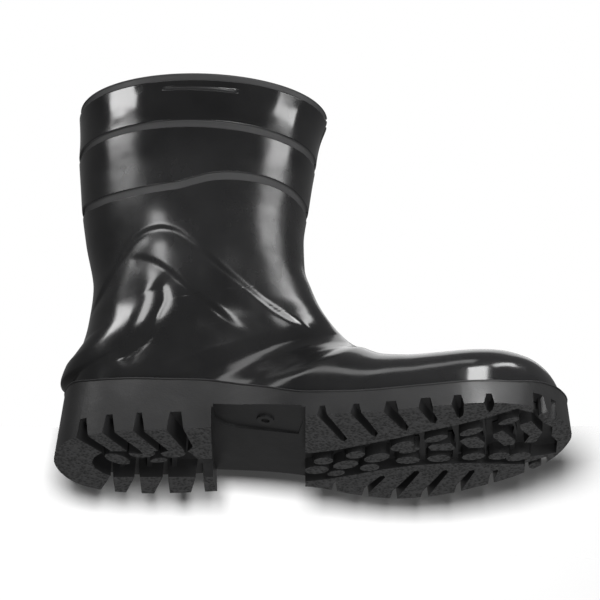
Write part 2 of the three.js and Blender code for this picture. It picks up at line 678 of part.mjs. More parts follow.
function makeToeCap() {
  const levels = FOOT_LEVELS.filter((t) => t >= CAP_START);
  const cap = shell(even(UNDER_LINING), levels, even(UNDER_LINING + CAP_WALL), levels);
  const window = Array.from({ length: CAP_WINDOW_POINTS + 1 }, (_, i) =>
    outlinePoint(THREE.MathUtils.lerp(...CAP_WINDOW, i / CAP_WINDOW_POINTS), CAP_FLANGE),
  );
  return fromManifold(toManifold(cap).subtract(prism(window, 8, 20)));
}

const makeCapStrip = () =>
  patch(even(UNDER_LINING), even(UNDER_LINING + CAP_WALL), STRIP_LEVELS, -11, 11);

const makeCounter = () =>
  patch(even(UNDER_LINING), even(UNDER_LINING + COUNTER_WALL), COUNTER_LEVELS, 9, 23);

const midsoleInset = smooth([
  [-150, 29], [-135, 29], [-60, 16], [60, 14], [76, 20], [150, 20],
]);
const upperFloor = floorLine(even(UPPER_WALL));

/** A flat sheet over the upper's floor. */
function sheet(base, thickness) {
  return soleSlab({
    sections: 24,
    low: { inset: midsoleInset, z: (x) => upperFloor(x) + base },
    high: { inset: midsoleInset, z: (x) => upperFloor(x) + base + thickness },
  });
}

const makePlate = () => sheet(PLATE_BASE, PLATE_THICKNESS);
const makeBoard = () => sheet(BOARD_BASE, BOARD_THICKNESS);

const footbedInset = smooth([
  [-150, 20], [-138, 20], [-110, 19], [-60, 17.5], [-20, 18.5], [10, 18], [40, 16.5], [110, 17.5],
  [140, 21], [150, 21],
]);
const FOOTBED_SLANT = 3; // its underside is drawn in this far from its top edge
const FOOTBED_THICKNESS = 4.5;
const COVER_THICKNESS = 0.8;
const COVER_BASE = 1.5 * GAP; // above the footbed
const liningFloor = floorLine(liningFace(LINING_WALL));
const footbedFloor = (x) => liningFloor(x) + 1.6 * GAP;
const cupHeight = smooth([[-140, 5], [-90, 4.5], [-40, 2.5], [0, 0]]);
const cupEnd = smooth([[-127, 1], [-112, 0]]);

/** Height of the footbed's dished top. */
const footbedTop = (x, across) =>
  footbedFloor(x) + FOOTBED_THICKNESS + cupHeight(x) * Math.max(across ** 4, cupEnd(x));

function makeFootbed() {
  return soleSlab({
    sections: 32,
    columns: 5,
    low: { inset: (x) => footbedInset(x) + FOOTBED_SLANT, z: footbedFloor },
    high: { inset: footbedInset, z: footbedTop },
  });
}

function makeFootbedCover() {
  const raised = (by) => (x, across) => footbedTop(x, across) + by;
  return soleSlab({
    sections: 32,
    columns: 5,
    low: { inset: footbedInset, z: raised(COVER_BASE) },
    high: { inset: footbedInset, z: raised(COVER_BASE + COVER_THICKNESS) },
  });
}

function makeCushion() {
  const { x, y, length, width, bottom, top } = CUSHION;
  const outline = oval(x, y, length - 2 * GAP, width - 2 * GAP, 0, 24);
  return fromManifold(prism(outline, bottom + GAP, top));
}

// ---------------------------------------------------------------- assembly

const PIECES = [
  ['upper', makeUpper, { color: 0x101112, roughness: 0.22, metalness: 0 }],
  ['outsole', makeOutsole, { color: 0x2a2b2c, roughness: 0.62, metalness: 0 }],
  ['lining_sock', makeLining, { color: 0x8d9196, roughness: 0.95, metalness: 0 }],
  ['lining_top_tape', makeTape, { color: 0x26282b, roughness: 0.9, metalness: 0 }],
  ['steel_toe_cap', makeToeCap, { color: 0x8a8d91, roughness: 0.4, metalness: 1 }],
  ['toe_cap_edge_strip', makeCapStrip, { color: 0x1b1b1b, roughness: 0.8, metalness: 0 }],
  ['steel_midsole_plate', makePlate, { color: 0x94979b, roughness: 0.35, metalness: 1 }],
  ['insole_board', makeBoard, { color: 0x9a8a6b, roughness: 0.9, metalness: 0 }],
  ['heel_counter', makeCounter, { color: 0xb9ab8e, roughness: 0.85, metalness: 0 }],
  ['heel_cushion_pad', makeCushion, { color: 0xc9b23c, roughness: 0.9, metalness: 0 }],
  ['footbed', makeFootbed, { color: 0x3a3d42, roughness: 0.9, metalness: 0 }],
  ['footbed_cover', makeFootbedCover, { color: 0x6a6f75, roughness: 0.95, metalness: 0 }],
];

const boot = new THREE.Group();
for (const [name, make, finish] of PIECES) {
  const mesh = new THREE.Mesh(make(), new THREE.MeshStandardMaterial(finish));
  mesh.name = name;
  boot.add(mesh);
}

export default boot;
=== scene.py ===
# Looks for the steel toe work boot: metres, +Z up, toe towards +X, inner side towards -Y.
import math

import bmesh
import bpy
import numpy as np
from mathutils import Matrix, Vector
from mathutils.bvhtree import BVHTree


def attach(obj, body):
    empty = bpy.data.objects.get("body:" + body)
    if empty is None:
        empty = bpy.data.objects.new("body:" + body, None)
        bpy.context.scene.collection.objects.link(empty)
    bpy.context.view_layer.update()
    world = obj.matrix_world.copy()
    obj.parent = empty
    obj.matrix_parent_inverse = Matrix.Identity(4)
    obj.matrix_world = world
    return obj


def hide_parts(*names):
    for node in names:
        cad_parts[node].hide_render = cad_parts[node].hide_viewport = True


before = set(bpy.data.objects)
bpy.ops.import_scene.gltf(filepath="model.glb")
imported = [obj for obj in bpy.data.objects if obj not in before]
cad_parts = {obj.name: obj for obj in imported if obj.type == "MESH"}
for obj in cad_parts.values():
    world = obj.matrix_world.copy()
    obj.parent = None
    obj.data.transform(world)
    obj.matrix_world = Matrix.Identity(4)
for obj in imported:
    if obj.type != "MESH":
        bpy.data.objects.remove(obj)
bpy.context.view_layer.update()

MM = 0.001

# ---------------------------------------------------------------- camera

VIEW_ELEVATION = math.radians(-31)
VIEW_DISTANCE = 2.0
VIEW_TARGET = Vector((-0.0071, 0.0009, 0.1034))
LENS = 202

back = Vector((0, -math.cos(VIEW_ELEVATION), math.sin(VIEW_ELEVATION)))
camera = bpy.data.objects.new("camera", bpy.data.cameras.new("camera"))
camera.data.lens = LENS
camera.data.clip_end = 20
camera.location = VIEW_TARGET + back * VIEW_DISTANCE
camera.rotation_euler = (-back).to_track_quat("-Z", "Y").to_euler()
bpy.context.scene.collection.objects.link(camera)
bpy.context.scene.camera = camera

# ---------------------------------------------------------------- the upper's sections, in mm

# front and back ends on the centre line, half width, centre, widest share, roundness of both ends
SECTIONS = [
    ((10.4, 236.5), (-143, 241.5), 47.8, 8, 0.5, (2, 2)),
    ((4.2, 212), (-142.2, 210), 46.5, 8, 0.5, (2, 2)),
    ((-0.8, 178), (-140, 178), 44.5, 8, 0.5, (2, 2)),
    ((-4.8, 148), (-136, 147), 42.5, 8, 0.5, (2, 2)),
    ((-4.2, 128), (-130.5, 114), 40.5, 8.3, 0.5, (2, 2)),
    ((0.2, 113), (-133, 88), 38.5, 9, 0.52, (2, 2)),
    ((5, 101.5), (-139, 62), 37.5, 9.5, 0.55, (2, 2.1)),
    ((10, 93.5), (-142.5, 42), 35.8, 10.4, 0.58, (2, 2.2)),
    ((14.5, 87.5), (-138, 25), 34.2, 11.1, 0.62, (2, 3)),
    ((19, 82), (-116, 22), 33, 11.2, 0.68, (2, 5.5)),
    ((24, 76), (-88, 21.5), 32.4, 9.3, 0.74, (2, 8)),
    ((29, 70), (-56, 19), 34.2, 5.4, 0.76, (2, 8)),
    ((35, 63.5), (-18, 17.3), 37.4, -0.5, 0.78, (2, 8)),
    ((43, 59), (18, 10.6), 43.3, 0.5, 0.78, (2, 8)),
    ((55, 56.5), (45, 10.4), 48.8, 2.6, 0.78, (2.1, 8)),
    ((73, 54.8), (70, 10.5), 49.8, -0.3, 0.76, (2.2, 8)),
    ((92, 54), (92, 12), 47.5, -4.5, 0.74, (2.3, 8)),
    ((110, 53.6), (110, 13.3), 41.6, -6.4, 0.72, (2.4, 7)),
    ((124, 51.6), (124, 15), 34.2, -6, 0.7, (2.4, 6)),
    ((134, 47), (134, 17), 25.4, -5, 0.66, (2.4, 5)),
    ((140.6, 40.5), (140.4, 19), 16.8, -4, 0.6, (2.3, 3)),
    ((144.2, 33), (144, 22), 9.6, -3.5, 0.55, (2.2, 2.5)),
]
TOE_POLE = np.array((145.8, -3.3, 27.0))
LAST = len(SECTIONS) - 1
TOE_SECTIONS = 17
STEP = 0.05


def smooth(pairs):
    """A smooth function through (x, value) pairs that doesn't swing past them."""
    xs, ys = (np.array(v, float) for v in zip(*pairs))
    slopes = np.diff(ys) / np.diff(xs)
    before, after = np.append(slopes[:1], slopes), np.append(slopes, slopes[-1:])
    flat = before * after <= 0
    tangents = np.where(flat, 0, 2 * before * after / np.where(flat, 1, before + after))

    def value(x):
        x = np.asarray(x, float)
        i = np.clip(np.searchsorted(xs, x, side="left") - 1, 0, len(xs) - 2)
        width = xs[i + 1] - xs[i]
        s = np.clip((x - xs[i]) / width, 0, 1)
        s2, s3 = s * s, s * s * s
        return (
            ys[i] * (2 * s3 - 3 * s2 + 1)
            + ys[i + 1] * (3 * s2 - 2 * s3)
            + width * (tangents[i] * (s3 - 2 * s2 + s) + tangents[i + 1] * (s3 - s2))
        )

    return value


def ramp(x, start, end):
    """0 before start, 1 after end, and a smooth rise between them."""
    s = np.clip((np.asarray(x, float) - start) / (end - start), 0, 1)
    return s * s * (3 - 2 * s)


def along(pick):
    """A smooth function of the section number, through one value of each section."""
    return smooth([(i, pick(s)) for i, s in enumerate(SECTIONS)])


front_x, front_z = along(lambda s: s[0][0]), along(lambda s: s[0][1])
back_x, back_z = along(lambda s: s[1][0]), along(lambda s: s[1][1])
half_width, centre_y = along(lambda s: s[2]), along(lambda s: s[3])
wide_share = along(lambda s: s[4])
front_round, back_round = along(lambda s: s[5][0]), along(lambda s: s[5][1])


def unit(v):
    """Vectors of length 1 in the same directions."""
    return v / np.linalg.norm(v, axis=-1, keepdims=True)


def widest(t):
    """Where, in the side view, the sections t are widest."""
    x = front_x(t) + (back_x(t) - front_x(t)) * wide_share(t)
    z = front_z(t) + (back_z(t) - front_z(t)) * wide_share(t)
    return np.stack([x, z], -1)


def section_end(x_of, z_of, turn, t, depth):
    """An end of the sections t, moved in by depth, as in the CAD source."""
    a, b = np.maximum(t - STEP, 0), np.minimum(t + STEP, LAST)
    dx, dz = x_of(b) - x_of(a), z_of(b) - z_of(a)
    normal = unit(np.stack([-dz * turn, dx * turn], -1))
    point = np.stack([x_of(t), z_of(t)], -1)
    inwards = unit(widest(t) - point)
    by_section = inwards * (-depth / (inwards * normal).sum(-1))[..., None]
    by_normal = -normal * depth[..., None]
    return point + np.where((t >= TOE_SECTIONS)[..., None], by_normal, by_section), normal


def surface(t, angle, front, side, rear):
    """Points on the layer that lies front, side and rear mm inside the upper's outer face."""
    t, angle = np.broadcast_arrays(np.asarray(t, float), np.asarray(angle, float))
    front, side, rear = (np.broadcast_to(np.asarray(d, float), t.shape) for d in (front, side, rear))
    front_end, _ = section_end(front_x, front_z, 1, t, front)
    rear_end, rear_normal = section_end(back_x, back_z, -1, t, rear)
    ahead, behind = np.minimum(t + STEP, LAST), np.maximum(t - STEP, 0)
    travel = widest(ahead) - widest(behind)
    length = np.linalg.norm(travel, axis=-1)
    widening = (half_width(ahead) - half_width(behind)) / length
    lean = np.hypot(1, widening)
    middle = widest(t) + travel / length[..., None] * (side * widening / lean)[..., None]
    c, s = np.cos(angle), np.sin(angle)
    power = 2 / np.where(c > 0, front_round(t), back_round(t))
    end = np.where((c > 0)[..., None], front_end, rear_end)
    point = middle + (end - middle) * (np.abs(c) ** power)[..., None]
    y = centre_y(t) + np.sign(s) * np.abs(s) ** power * (half_width(t) - side / lean)
    return np.stack([point[..., 0], y, point[..., 1]], -1), rear_normal


def grid_normals(points):
    """Outward unit normals of a grid of points whose columns go round."""
    down = np.gradient(points, axis=0)
    around = np.roll(points, -1, 1) - np.roll(points, 1, 1)
    normals = np.cross(around, down)
    return normals / np.maximum(np.linalg.norm(normals, axis=-1, keepdims=True), 1e-9)


def grid_faces(rows, columns, start=0, flip=False):
    """Faces of a grid whose columns go round."""
    i, j = np.meshgrid(np.arange(rows - 1), np.arange(columns), indexing="ij")
    k = (j + 1) % columns
    faces = np.stack([i * columns + j, (i + 1) * columns + j, (i + 1) * columns + k, i * columns + k], -1)
    faces = faces.reshape(-1, 4) + start
    return faces[:, ::-1] if flip else faces


def closed_shell(outer, inner, outer_tip=None, inner_tip=None):
    """Points and faces of a shell between two grids that share their columns, open end joined."""
    columns = outer.shape[1]
    start = len(outer) * columns
    points = [outer.reshape(-1, 3), inner.reshape(-1, 3)]
    faces = grid_faces(len(outer), columns).tolist()
    faces += grid_faces(len(inner), columns, start, flip=True).tolist()
    j = np.arange(columns)
    k = (j + 1) % columns
    faces += np.stack([k, start + k, start + j, j], -1).tolist()
    last_out, last_in = start - columns, start + (len(inner) - 1) * columns
    if outer_tip is None:
        faces += np.stack([last_out + j, last_in + j, last_in + k, last_out + k], -1).tolist()
    else:
        tip = start + len(inner) * columns
        points.append([outer_tip, inner_tip])
        faces += [(last_out + a, tip, last_out + b) for a, b in zip(j, k)]
        faces += [(last_in + b, tip + 1, last_in + a) for a, b in zip(j, k)]
    return np.concatenate(points), faces


def soften(field, passes):
    """A height field over a grid whose columns go round, smoothed by its neighbours."""
    for _ in range(passes):
        field = 0.5 * field + 0.25 * (np.roll(field, 1, 1) + np.roll(field, -1, 1))
        field[1:-1] = 0.5 * field[1:-1] + 0.25 * (field[:-2] + field[2:])
    return field


LEG_AXIS, LEG_RADIUS = (-66, 8), 48  # x and y, and a typical radius, in mm


def place_by_position(obj, along_of):
    """UVs in mm: round the leg's middle, and along_of(points) down it."""
    layer = obj.data.uv_layers.new(name="cloth")
    co = np.array([v.co for v in obj.data.vertices]) / MM
    loops = np.array([loop.vertex_index for loop in obj.data.loops])
    size = np.array([p.loop_total for p in obj.data.polygons])
    u = np.arctan2(co[:, 1] - LEG_AXIS[1], co[:, 0] - LEG_AXIS[0])
    face = np.repeat(np.arange(len(size)), size)
    corner = u[loops]
    first = corner[np.append(0, np.cumsum(size)[:-1])][face]
    corner = corner + 2 * np.pi * np.round((first - corner) / (2 * np.pi))
    uv = np.stack([corner * LEG_RADIUS, along_of(co)[loops]], -1)
    layer.data.foreach_set("uv", uv.astype(np.float32).ravel())


def make_object(name, points_mm, faces, body, slot, nodes, material):
    """A mesh object from points in mm that rides on a body and stands for CAD nodes."""
    mesh = bpy.data.meshes.new(name)
    mesh.from_pydata((np.asarray(points_mm) * MM).tolist(), [], [list(map(int, f)) for f in faces])
    mesh.validate()
    mesh.polygons.foreach_set("use_smooth", [True] * len(mesh.polygons))
    mesh.materials.append(material)
    obj = bpy.data.objects.new(name, mesh)
    bpy.context.scene.collection.objects.link(obj)
    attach(obj, body)
    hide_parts(*nodes)
    return obj


# ---------------------------------------------------------------- materials


class Nodes:
    """A short way to write a material's node tree."""

    def __init__(self, name, base, roughness, specular=0.5):
        self.material = bpy.data.materials.new(name)
        self.material.use_nodes = True
        self.tree = self.material.node_tree
        self.shader = self.tree.nodes["Principled BSDF"]
        self.shader.inputs["Base Color"].default_value = (*base, 1)
        self.shader.inputs["Roughness"].default_value = roughness
        self.shader.inputs["Specular IOR Level"].default_value = specular
        place = self.node("ShaderNodeTexCoord")
        self.object_co, self.uv_co = place.outputs["Object"], place.outputs["UV"]

    def node(self, kind, **inputs):
        made = self.tree.nodes.new(kind)
        for name, value in inputs.items():
            self.put(made.inputs[name.replace("_", " ")], value)
        return made

    def put(self, socket, value):
        if isinstance(value, bpy.types.NodeSocket):
            self.tree.links.new(value, socket)
        else:
            socket.default_value = value

    def math(self, operation, a, b=0.0):
        made = self.tree.nodes.new("ShaderNodeMath")
        made.operation = operation
        self.put(made.inputs[0], a)
        self.put(made.inputs[1], b)
        return made.outputs[0]

    def stretched(self, scale):
        made = self.node("ShaderNodeMapping", Vector=self.object_co)
        made.inputs["Scale"].default_value = scale
        return made.outputs[0]

    def noise(self, scale, detail, vector=None):
        made = self.node("ShaderNodeTexNoise", Scale=scale, Detail=detail)
        self.put(made.inputs["Vector"], vector or self.object_co)
        return made.outputs["Fac"]

    def voronoi(self, scale):
        made = self.node("ShaderNodeTexVoronoi", Scale=scale, Vector=self.object_co)
        return made.outputs["Distance"]

    def between(self, value, low, high, to_low, to_high):
        made = self.node("ShaderNodeMapRange", Value=value)
        for name, number in zip(("From Min", "From Max", "To Min", "To Max"), (low, high, to_low, to_high)):
            made.inputs[name].default_value = number
        return made.outputs["Result"]

    def mix(self, share, a, b):
        made = self.tree.nodes.new("ShaderNodeMix")
        made.data_type = "RGBA"
        self.put(made.inputs["Factor"], share)
        self.put(made.inputs[6], (*a, 1) if isinstance(a, tuple) else a)
        self.put(made.inputs[7], (*b, 1) if isinstance(b, tuple) else b)
        return made.outputs[2]

    def attribute(self, name):
        made = self.tree.nodes.new("ShaderNodeAttribute")
        made.attribute_name = name
        return made.outputs["Fac"]

    def bump(self, height, distance):
        made = self.node("ShaderNodeBump", Height=height, Distance=distance, Strength=1.0)
        if self.shader.inputs["Normal"].links:
            self.put(made.inputs["Normal"], self.shader.inputs["Normal"].links[0].from_socket)
        self.put(self.shader.inputs["Normal"], made.outputs[0])

    def set(self, **inputs):
        for name, value in inputs.items():
            self.put(self.shader.inputs[name.replace("_", " ")], value)


def pvc_material():
    """Glossy black PVC, rougher on the raised bands and painted lighter there as a painted sheen, with slow
    ripples and faint rubbed patches.
    """
    m = Nodes("upper_pvc", (0.006, 0.006, 0.0064), 0.14)
    satin_and_sheen = m.attribute("satin_and_sheen")
    rubbed = m.between(m.noise(38, 5), 0.42, 0.75, 0.0, 0.09)
    streaks = m.between(m.noise(60, 3, m.stretched((1.6, 1.6, 0.25))), 0.45, 0.8, 0.0, 0.06)
    gloss = m.math("ADD", m.math("ADD", rubbed, streaks), 0.1)
    gloss = m.math("ADD", gloss, m.math("MULTIPLY", m.attribute("dull"), 0.12))
    m.set(Roughness=m.math("ADD", gloss, m.math("MULTIPLY", satin_and_sheen, 0.42)))
    tone = m.mix(m.between(m.noise(22, 4), 0.35, 0.7, 0.0, 1.0), (0.01, 0.01, 0.0104), (0.018, 0.018, 0.0185))
    # The raised bands' lighter grey is a painted sheen, laid on top of their rougher finish.
    m.set(Base_Color=m.mix(satin_and_sheen, tone, (0.045, 0.045, 0.046)))
    m.bump(m.noise(30, 2), 0.0006)
    m.bump(m.math("MULTIPLY", m.noise(1500, 2), m.math("ADD", m.math("MULTIPLY", satin_and_sheen, 0.9), 0.06)), 0.00006)
    return m.material


def sole_material():
    """Matte black rubber: faint moulding marks on the walls, a fine leathery grain on the tread's faces."""
    m = Nodes("sole_rubber", (0.02, 0.02, 0.02), 0.5, 0.4)
    geometry = m.tree.nodes.new("ShaderNodeNewGeometry")
    facing = m.node("ShaderNodeSeparateXYZ", Vector=geometry.outputs["True Normal"]).outputs["Z"]
    place = m.node("ShaderNodeSeparateXYZ", Vector=m.object_co)
    height = place.outputs["Z"]
    under = m.between(facing, -0.85, -0.95, 0.0, 1.0)
    lift = m.math("MAXIMUM", m.math("DIVIDE", m.math("SUBTRACT", place.outputs["X"], 0.062), 0.088), 0.0)
    ground = m.math("MULTIPLY", m.math("POWER", lift, 2.0), 0.009)
    low = m.between(m.math("SUBTRACT", height, ground), 0.0004, 0.0009, 1.0, 0.0)
    grained = m.math("MULTIPLY", under, low)
    cloud = m.between(m.noise(26, 5), 0.35, 0.7, 0.0, 1.0)
    wall = m.mix(cloud, (0.017, 0.017, 0.0175), (0.027, 0.027, 0.0275))
    grain = m.math("ADD", m.voronoi(520), m.math("MULTIPLY", m.noise(900, 3), 0.7))
    tread = m.mix(m.between(grain, 0.45, 1.0, 0.0, 1.0), (0.011, 0.011, 0.011), (0.07, 0.07, 0.071))
    m.set(Base_Color=m.mix(grained, wall, tread))
    worn = m.between(m.noise(45, 4), 0.3, 0.7, 0.36, 0.5)
    m.set(Roughness=m.math("ADD", worn, m.math("MULTIPLY", grained, 0.15)))
    m.bump(m.math("MULTIPLY", grain, grained), 0.0008)
    m.bump(m.noise(900, 3), 0.00005)
    m.bump(m.noise(60, 3), 0.0003)
    return m.material


def knit_material(name, light, dark, width, length):
    """A knitted fabric: rows of small V-shaped loops, width by length mm each."""
    m = Nodes(name, light, 0.95, 0.15)
    m.set(Sheen_Weight=0.35, Sheen_Roughness=0.5)
    uv = m.node("ShaderNodeSeparateXYZ", Vector=m.uv_co)
    u = m.math("DIVIDE", uv.outputs["X"], width)
    v = m.math("DIVIDE", uv.outputs["Y"], length)
    arm = m.math("ABSOLUTE", m.math("SUBTRACT", m.math("FRACT", u), 0.5))
    slant = m.math("FRACT", m.math("ADD", v, m.math("MULTIPLY", arm, 1.3)))
    strand = m.math("SINE", m.math("MULTIPLY", slant, math.pi))
    valley = m.math("SINE", m.math("MULTIPLY", m.math("MULTIPLY", arm, 2.0), math.pi))
    height = m.math("MULTIPLY", m.math("MULTIPLY", strand, m.math("ADD", valley, 0.35)), 0.74)
    fluff = m.noise(2600, 3)
    # The loops' tops are lighter and the valleys between them darker: painted shade, with a little random
    # fluff on top.
    shade = m.math("ADD", m.between(height, 0.0, 0.9, 0.0, 0.8), m.math("MULTIPLY", fluff, 0.25))
    m.set(Base_Color=m.mix(shade, dark, light))
    m.bump(m.math("ADD", height, m.math("MULTIPLY", fluff, 0.4)), 0.0004)
    return m.material


def woven_material(name, light, dark, pitch, depth):
    """A plain weave over the UVs in mm, with fluffy threads and a relief depth metres deep."""
    m = Nodes(name, light, 0.95, 0.15)
    m.set(Sheen_Weight=0.3, Sheen_Roughness=0.5)
    uv = m.node("ShaderNodeSeparateXYZ", Vector=m.uv_co)
    waves = [m.math("SINE", m.math("MULTIPLY", uv.outputs[axis], math.pi / pitch)) for axis in "XY"]
    over = m.math("MULTIPLY", waves[0], waves[1])
    threads = m.math("ABSOLUTE", over)
    fluff = m.noise(2400, 3)
    # Lighter where the threads ride over and darker in the gaps between them: painted shade, with random
    # fluff.
    shade = m.math("ADD", m.math("MULTIPLY", threads, 0.7), m.math("MULTIPLY", fluff, 0.35))
    m.set(Base_Color=m.mix(shade, dark, light))
    m.bump(m.math("ADD", m.math("ADD", threads, m.math("MULTIPLY", over, 0.5)), fluff), depth)
    return m.material


def plain_material(name, base, second, roughness, scale, distance):
    """Two tones of one colour in a fine mottle with a little relief."""
    m = Nodes(name, base, roughness)
    coarse = m.math("MULTIPLY", m.noise(scale, 5), 0.6)
    fine = m.math("MULTIPLY", m.noise(scale * 7, 3), 0.4)
    mottle = m.math("ADD", coarse, fine)
    m.set(Base_Color=m.mix(m.between(mottle, 0.35, 0.65, 0.0, 1.0), base, second))
    m.set(Roughness=m.between(m.noise(scale * 2, 4), 0.3, 0.7, roughness - 0.08, roughness + 0.08))
    m.bump(mottle, distance)
    return m.material


# ---------------------------------------------------------------- upper

COLUMNS = 320
angles = 2 * np.pi * np.arange(COLUMNS) / COLUMNS

UPPER_WALL = 2.4
BANDS = [(0, 0.17, 1.3), (1.15, 1.31, 1.3), (2.31, 2.49, 1.4)]
EDGE = 0.016  # how much of a level a band's rounded edge takes
LEG_LEVEL = 31.5  # about how many mm of leg there are from one section to the next
INNER_SIDE = 8  # the inner side is where y is below this, in mm

# The bar under the rim: its ends in x, middle point, lean, half thickness and how far it stands out
BAR_START, BAR_END = (-90, -88.5), (-46, -44)
BAR_X, BAR_Z, BAR_LEAN = -67, 228.6, 0.045
BAR_HALF, BAR_RELIEF = (0.6, 1.5), 1.1

# The mould's parting line up the front: the radius it is measured on, its relief as flash and as seam,
# and the heights between which the seam turns into flash
FRONT_RADIUS, FLASH_RELIEF, SEAM_RELIEF = 46, 2.0, 0.25
FLASH_START = (128, 160)

# How far each band's line leaves the section's own line, by x, in mm along the leg
UPPER_RIB_WAVE = smooth([(-143, -2.5), (-67, 0), (0, 3)])
LOWER_RIB_WAVE = smooth(
    [(-141, -2), (-128, 4), (-105, 5.2), (-81, 4), (-70, 1), (-59, -2.3), (-43, -4.5), (-28, -5.2),
     (-17, -4.5), (-4, -1.5)]
)


def leg_levels():
    """Level of each row at each column: rows that follow the leg's wavy bands."""
    near_edge = np.array([-0.02, -0.004, 0.004, 0.009, EDGE, 0.026])
    rows = [np.array([0, 0.006, 0.014, 0.024, 0.04])]
    for start, end, _ in BANDS:
        if start > 0:
            rows.append(start + near_edge)
        rows.append(end - near_edge)
    rows.append(np.arange(0.06, 3.0, 0.045))
    rows.append(np.arange(0.3, 0.48, 0.014))
    rows = np.unique(np.round(np.concatenate(rows), 4))
    kept = [rows[0]]
    for r in rows[1:]:
        if r - kept[-1] > 0.004:
            kept.append(r)
    rows = np.array(kept)[:, None]
    x = surface(rows, angles[None, :], 0, 0, 0)[0][..., 0]
    shift = UPPER_RIB_WAVE(x) / LEG_LEVEL * ramp(rows, 0.6, 1.15) * (1 - ramp(rows, 1.3, 1.9))
    shift = shift + LOWER_RIB_WAVE(x) / LEG_LEVEL * ramp(rows, 1.5, 2.3) * (1 - ramp(rows, 2.5, 3.0))
    return rows, rows + shift


def band_height(rows):
    """How far the bands stand out, from a row's place between them, and where they are rougher and painted
    with a sheen.
    """
    out, satin_and_sheen = np.zeros_like(rows), np.zeros_like(rows)
    for start, end, height in BANDS:
        rise = ramp(rows, start, start + EDGE) if start > 0 else 0.6 + 0.4 * ramp(rows, 0, 0.02)
        inside = rise * (1 - ramp(rows, end - EDGE, end))
        out = out + height * inside
        satin_and_sheen = np.maximum(satin_and_sheen, ramp(inside, 0.1, 0.6))
    return out, satin_and_sheen


def polyline_distance(x, z, line):
    """Distance of points from a line in the side view, and how far along it the nearest point is."""
    steps = np.linspace(0, len(line) - 1, 6 * len(line))
    line = np.stack([smooth(list(enumerate(axis)))(steps) for axis in zip(*line)], -1)
    lengths = np.linalg.norm(np.diff(line, axis=0), axis=1)
    starts = np.append(0, np.cumsum(lengths))
    best = np.full(x.shape, 1e9)
    place = np.zeros(x.shape)
    for a, b, length, start in zip(line[:-1], line[1:], lengths, starts[:-1]):
        d = (b - a) / length
        s = np.clip((x - a[0]) * d[0] + (z - a[1]) * d[1], 0, length)
        gap = np.hypot(x - a[0] - d[0] * s, z - a[1] - d[1] * s)
        closer = gap < best
        best = np.where(closer, gap, best)
        place = np.where(closer, (start + s) / starts[-1], place)
    return best, place


# The two raised lines that cross the ankle: x and z in the side view, height, reach, where the ends fade
ANKLE_LINES = [
    ([(-134, 88), (-128, 98), (-121, 109), (-113, 120), (-109, 126), (-104, 131), (-98, 134), (-90, 135),
      (-81, 132.5), (-72, 126), (-64, 118.5), (-56, 111), (-43, 101), (-28, 90.5), (-12, 82), (6, 76)],
     1.35, 8, (0.12, 0.86)),
    ([(-108, 118.5), (-103, 118), (-94, 114), (-83, 105.5), (-72, 94), (-59, 84), (-47, 75), (-34, 67)],
     1.25, 7, (0.12, 0.75)),
]


# A soft fold down the inner side of the heel
HEEL_FOLD = [(-92, 102), (-88, 96), (-87, 88), (-91, 76), (-94, 64), (-102, 56), (-116, 49)]
HEEL_FOLDS = [(HEEL_FOLD, 1.0, 8), (HEEL_FOLD, 0.5, 1.7)]


def ankle_relief(points):
    """How far the fold and the two ankle lines stand out. The lines are on both sides of the leg."""
    x, y, z = points[..., 0], points[..., 1], points[..., 2]
    out = np.zeros(x.shape)
    for line, height, width in HEEL_FOLDS:
        gap, place = polyline_distance(x, z, line)
        fold = height * np.exp(-((gap / width) ** 2)) * ramp(place, 0, 0.12)
        out += fold * (1 - ramp(place, 0.88, 1)) * (y < INNER_SIDE)
    for line, height, reach, (start, end) in ANKLE_LINES:
        gap, place = polyline_distance(x, z, line)
        xs, zs = zip(*line)
        below = z < np.interp(x, xs, zs)
        signed = np.where(below, gap, -gap)
        fade = ramp(place, 0, start) * (1 - ramp(place, end, 1))
        step = ramp(signed, -1.1, 1.1) * np.exp(-((np.maximum(signed, 0) / reach) ** 2))
        out += height * step * fade
    return out


def spur_relief(t, angle):
    """The ledge at the back of the heel for pulling the boot off."""
    profile = smooth([(5.55, 0), (5.9, 3.4), (6.15, 6), (6.5, 6.6), (6.64, 6.2), (6.72, 0)])
    return profile(t) * ramp(t, 5.5, 5.6) * (1 - ramp(t, 6.7, 6.76)) * np.maximum(0, -np.cos(angle)) ** 6


